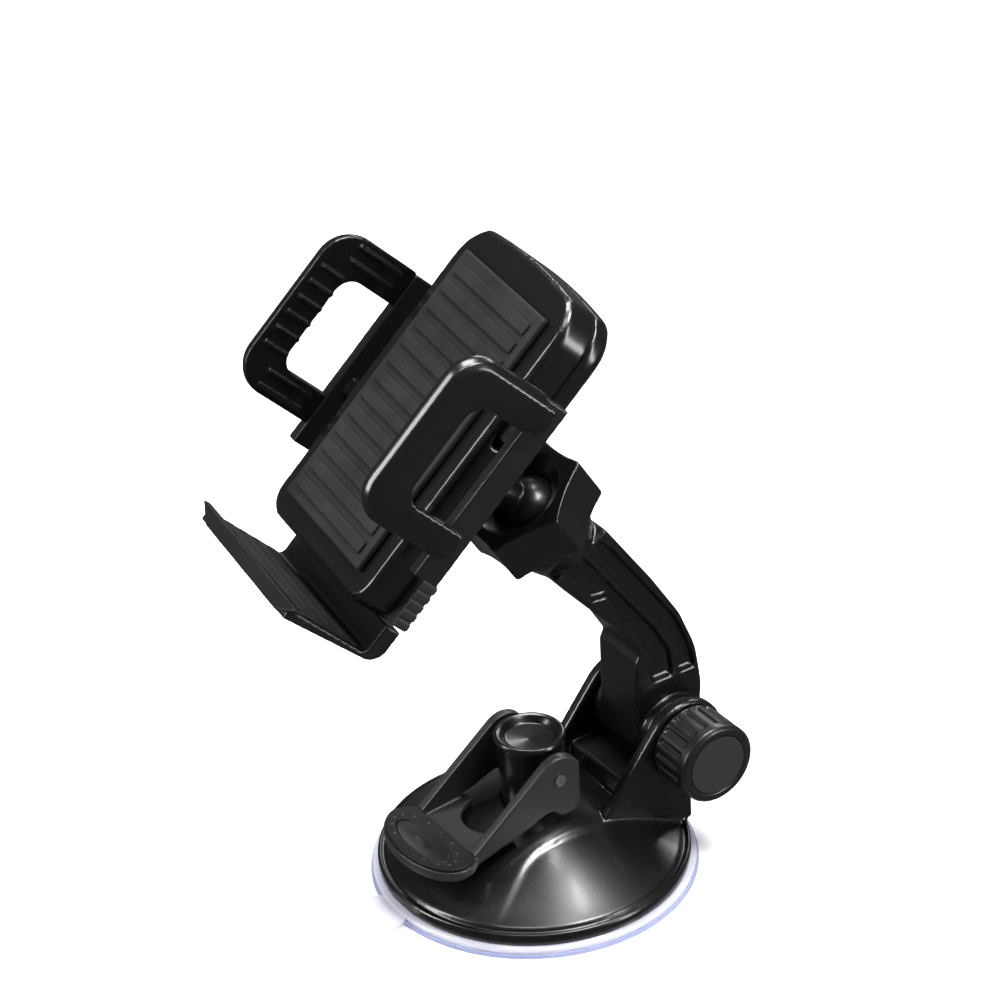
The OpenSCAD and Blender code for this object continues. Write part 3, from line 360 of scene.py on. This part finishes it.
# cell is the fineness in mm, passes is how far edges are eased, share is what is kept of the faces
roundings = {
    "base_housing": {"cell": 0.42, "passes": 7, "share": 0.45},
    "arm_body": {"cell": 0.3, "passes": 9, "share": 0.5},
    "lock_lever": {"cell": 0.26, "passes": 5, "share": 0.4},
    "lever_pad": {"cell": 0.2, "passes": 3, "share": 0.35},
    "knob_body": {"cell": 0.22, "passes": 5, "share": 0.45},
    "clamp_nut": {"cell": 0.3, "passes": 10, "share": 0.4},
    "front_shell": {"cell": 0.38, "passes": 20, "share": 0.35},
    "rear_shell": {"cell": 0.36, "passes": 34, "share": 0.4},
    "grip_right": {"cell": 0.26, "passes": 11, "share": 0.4},
    "grip_left": {"cell": 0.26, "passes": 8, "share": 0.4},
    "jaw_right": {"cell": 0.26, "passes": 4, "share": 0.35},
    "jaw_left": {"cell": 0.26, "passes": 4, "share": 0.35},
    "foot_bracket": {"cell": 0.28, "passes": 5, "share": 0.35},
    "release_button": {"cell": 0.11, "passes": 1, "share": 0.3},
    "ball_stud": {"cell": 0.3, "passes": 5, "share": 0.4},
    "stem_post": {"cell": 0.2, "passes": 2, "share": 0.4},
}
for nodeName, rounding in roundings.items():
    softenNode(nodeName, rounding)
print("frame pieces softened")

cradleX = Vector(joints["jaw_right_slide"]["axis"]).normalized()
cradleY = Vector(joints["cradle_spin"]["axis"]).normalized()
if cradleY.y < 0:
    cradleY = -cradleY
cradleZ = cradleX.cross(cradleY).normalized()
cradle = Matrix((cradleX, cradleY, cradleZ)).transposed()
cradleInverse = cradle.transposed()


def cradleBox(name):
    spots = [cradleInverse @ vertex.co for vertex in nodes[name].data.vertices]
    return ([min(spot[k] for spot in spots) for k in range(3)],
            [max(spot[k] for spot in spots) for k in range(3)])


def roundedBar(mesh, low, high, edge):
    # adds a box with eased edges between two corners, which are given along the cradle's axes
    made = bmesh.ops.create_cube(mesh, size=1)["verts"]
    size = [high[k] - low[k] for k in range(3)]
    for vertex in made:
        vertex.co = Vector([low[k] + (vertex.co[k] + 0.5) * size[k] for k in range(3)])
    edges = list({e for vertex in made for e in vertex.link_edges})
    eased = bmesh.ops.bevel(mesh, geom=edges, offset=edge, segments=3, profile=0.6, affect="EDGES")
    for vertex in {v for face in eased["faces"] for v in face.verts} | {v for v in made if v.is_valid}:
        vertex.co = cradle @ vertex.co


def addPiece(name, mesh):
    data = bpy.data.meshes.new(name)
    mesh.to_mesh(data)
    mesh.free()
    for face in data.polygons:
        face.use_smooth = True
    return addObject(name, data)


backPad = {"ribs": 13, "ribWidth": 3.0, "ribDepth": 0.7, "ribReach": 1.4, "edge": 0.3,
           "plateEdge": 0.9, "sideMargin": 2.4, "endMargin": 2}


def makeBackPad():
    # rubber pad behind the phone: a plate with rounded ribs across it
    low, high = cradleBox("front_pad")
    side, end = backPad["sideMargin"] * mm, backPad["endMargin"] * mm
    mesh = bmesh.new()
    plateFront = low[1] + backPad["ribDepth"] * mm
    roundedBar(mesh, (low[0], plateFront, low[2]), high, backPad["plateEdge"] * mm)
    pitch = (high[2] - low[2] - 2 * end) / backPad["ribs"]
    half = backPad["ribWidth"] / 2 * mm
    for k in range(backPad["ribs"]):
        z = low[2] + end + pitch * (k + 0.5)
        roundedBar(mesh, (low[0] + side, low[1], z - half),
                   (high[0] - side, low[1] + backPad["ribReach"] * mm, z + half), backPad["edge"] * mm)
    declare(addPiece("backPad", mesh), "front_pad")


footRubber = {"ribs": 4, "ribDepth": 0.35, "ribShare": 0.28, "ribFoot": 0.2, "edge": 0.2,
              "plateEdge": 0.15, "sideMargin": 1.5, "endMargin": 0.8}


def makeFootRubber():
    # ribbed rubber that the phone's lower edge stands on
    low, high = cradleBox("foot_pad")
    side, end = footRubber["sideMargin"] * mm, footRubber["endMargin"] * mm
    mesh = bmesh.new()
    plateTop = high[2] - footRubber["ribDepth"] * mm
    roundedBar(mesh, low, (high[0], high[1], plateTop), footRubber["plateEdge"] * mm)
    pitch = (high[1] - low[1] - 2 * end) / footRubber["ribs"]
    half = pitch * footRubber["ribShare"]
    for k in range(footRubber["ribs"]):
        y = low[1] + end + pitch * (k + 0.5)
        roundedBar(mesh, (low[0] + side, y - half, low[2] + footRubber["ribFoot"] * mm),
                   (high[0] - side, y + half, high[2]), footRubber["edge"] * mm)
    declare(addPiece("footRubber", mesh), "foot_pad")


padPips = {"count": 13, "radius": 0.42, "rise": 0.16, "ringX": 12.3, "ringY": 5.0, "middleY": 6.7,
           "start": 290, "sweep": 320, "sink": 0.02, "segments": 16}


def makePadPips():
    # small raised pips round the oval hollow of the finger pad
    low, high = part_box("lever_pad")
    middle = Vector(((low[0] + high[0]) / 2, low[1] + padPips["middleY"] * mm, high[2]))
    sink = Vector((0, 0, padPips["sink"] * mm))
    mesh = bmesh.new()
    for k in range(padPips["count"]):
        angle = math.radians(padPips["start"] + padPips["sweep"] * (k + 0.5) / padPips["count"])
        onRing = Vector((padPips["ringX"] * math.cos(angle), padPips["ringY"] * math.sin(angle), 0))
        spot = middle + onRing * mm
        pip = bmesh.ops.create_uvsphere(mesh, u_segments=padPips["segments"],
                                        v_segments=padPips["segments"] // 2, radius=padPips["radius"] * mm)
        for vertex in pip["verts"]:
            vertex.co.z *= padPips["rise"] / padPips["radius"]
            vertex.co += spot - sink
    declare(addPiece("padPips", mesh), "lock_lever", standsFor=False)


def bridge(mesh, ring, after):
    # joins two rings of equally many points with a band of faces
    for n in range(len(ring)):
        m = (n + 1) % len(ring)
        mesh.faces.new((ring[n], ring[m], after[m], after[n]))


padDish = {"halfX": 11.0, "halfY": 3.9, "depth": 0.55, "rings": 8, "spokes": 56, "middleY": 6.35,
           "sink": 0.12, "thick": 0.5, "core": 0.02}


def makePadDish():
    # black oval dish in the hollow of the finger pad
    low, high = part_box("lever_pad")
    middle = Vector(((low[0] + high[0]) / 2, low[1] + padDish["middleY"] * mm,
                     high[2] - padDish["sink"] * mm))
    mesh = bmesh.new()
    rings = []
    for k in range(padDish["rings"] + 1):
        share = k / padDish["rings"]
        drop = padDish["depth"] * (1 - share ** 2)
        reach = max(share, padDish["core"])
        turns = [2 * math.pi * n / padDish["spokes"] for n in range(padDish["spokes"])]
        rings.append([mesh.verts.new(middle + mm * Vector((padDish["halfX"] * reach * math.cos(turn),
                                                           padDish["halfY"] * reach * math.sin(turn), -drop)))
                      for turn in turns])
    under = [mesh.verts.new(v.co - Vector((0, 0, padDish["thick"] * mm))) for v in rings[-1]]
    for ring, after in zip(rings, rings[1:] + [under]):
        bridge(mesh, ring, after)
    mesh.faces.new(rings[0])
    mesh.faces.new(list(reversed(under)))
    bmesh.ops.recalc_face_normals(mesh, faces=mesh.faces)
    declare(addPiece("padDish", mesh), "lever_pad", standsFor=False)


discShape = {"split": 30, "gap": 0.1, "shoulder": 18, "centre": 8, "core": 0.01, "thick": 1.4,
             "rimLean": 0.05, "rimTop": 0.35, "spokes": 96, "keep": 0.3, "tabOverlap": 0.5, "tabReach": 0.6}


def revolve(mesh, profile):
    # turns a closed profile of (radius, height) points, in mm, round the upright axis
    turns = [2 * math.pi * n / discShape["spokes"] for n in range(discShape["spokes"])]
    rings = [[mesh.verts.new(mm * Vector((r * math.cos(turn), r * math.sin(turn), z))) for turn in turns]
             for r, z in profile]
    for ring, after in zip(rings, rings[1:] + rings[:1]):
        bridge(mesh, ring, after)
    bmesh.ops.remove_doubles(mesh, verts=mesh.verts, dist=1e-7)
    bmesh.ops.recalc_face_normals(mesh, faces=mesh.faces)


def makeDisc():
    # the disc's rim and tab are made apart from its middle, which gets a mesh of its own
    low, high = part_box("suction_disc")
    foot, top, rim = low[2] / mm, high[2] / mm, high[0] / mm
    thick, split, shoulder = discShape["thick"], discShape["split"], discShape["shoulder"]
    centre, core = discShape["centre"], discShape["core"]
    rimMesh = bmesh.new()
    revolve(rimMesh, [(split, foot), (rim, foot), (rim - discShape["rimLean"], foot + thick * 0.5),
                      (rim - discShape["rimTop"], foot + thick), (split, foot + thick)])
    declare(addPiece("discRim", rimMesh), "suction_disc")

    tab = bmesh.new()
    tab.from_mesh(nodes["suction_disc"].data)
    inner, outer = (rim - discShape["tabOverlap"]) * mm, (rim + discShape["tabReach"]) * mm
    within = [face for face in tab.faces if max(v.co.xy.length for v in face.verts) < inner]
    bmesh.ops.delete(tab, geom=within, context="FACES")
    offTab = [face for face in tab.faces if not any(v.co.xy.length > outer for v in face.verts)]
    bmesh.ops.delete(tab, geom=offTab, context="FACES")
    declare(addPiece("discTab", tab), "suction_disc", standsFor=False)

    edge = split - discShape["gap"]
    middleMesh = bmesh.new()
    revolve(middleMesh, [(core, top - thick), (centre, top - thick), (shoulder, foot), (edge, foot),
                         (edge, foot + thick), (shoulder, foot + thick), (centre, top), (core, top)])
    middle = declare(addPiece("discMiddle", middleMesh), "suction_disc", standsFor=False)
    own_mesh(middle)


makeBackPad()
makeFootRubber()
makePadPips()
makePadDish()
makeDisc()
print("rubber pads, pips, dish and disc made")

floor = addObject("studioFloor", bpy.data.meshes.new("studioFloor"))
half = studio["floorSize"] / 2
corners = [(-half, -half, 0), (half, -half, 0), (half, half, 0), (-half, half, 0)]
floor.data.from_pydata(corners, [], [(0, 1, 2, 3)])
floorSheet = Sheet("floorPaper")
floorTone = floorSheet.mixTone(floorSheet.noise(studio["floorGrain"], 3), studio["floorTone"],
                               studio["floorToneTwo"])
floor.data.materials.append(floorSheet.finish(**{"Base Color": floorTone,
                                                 "Roughness": studio["floorRough"]}))
floor.visible_glossy = False  # glossy plastic mirrors the dark room, not the paper

setUpCamera(cameraSetup)
setUpStudio()
print("studio ready")
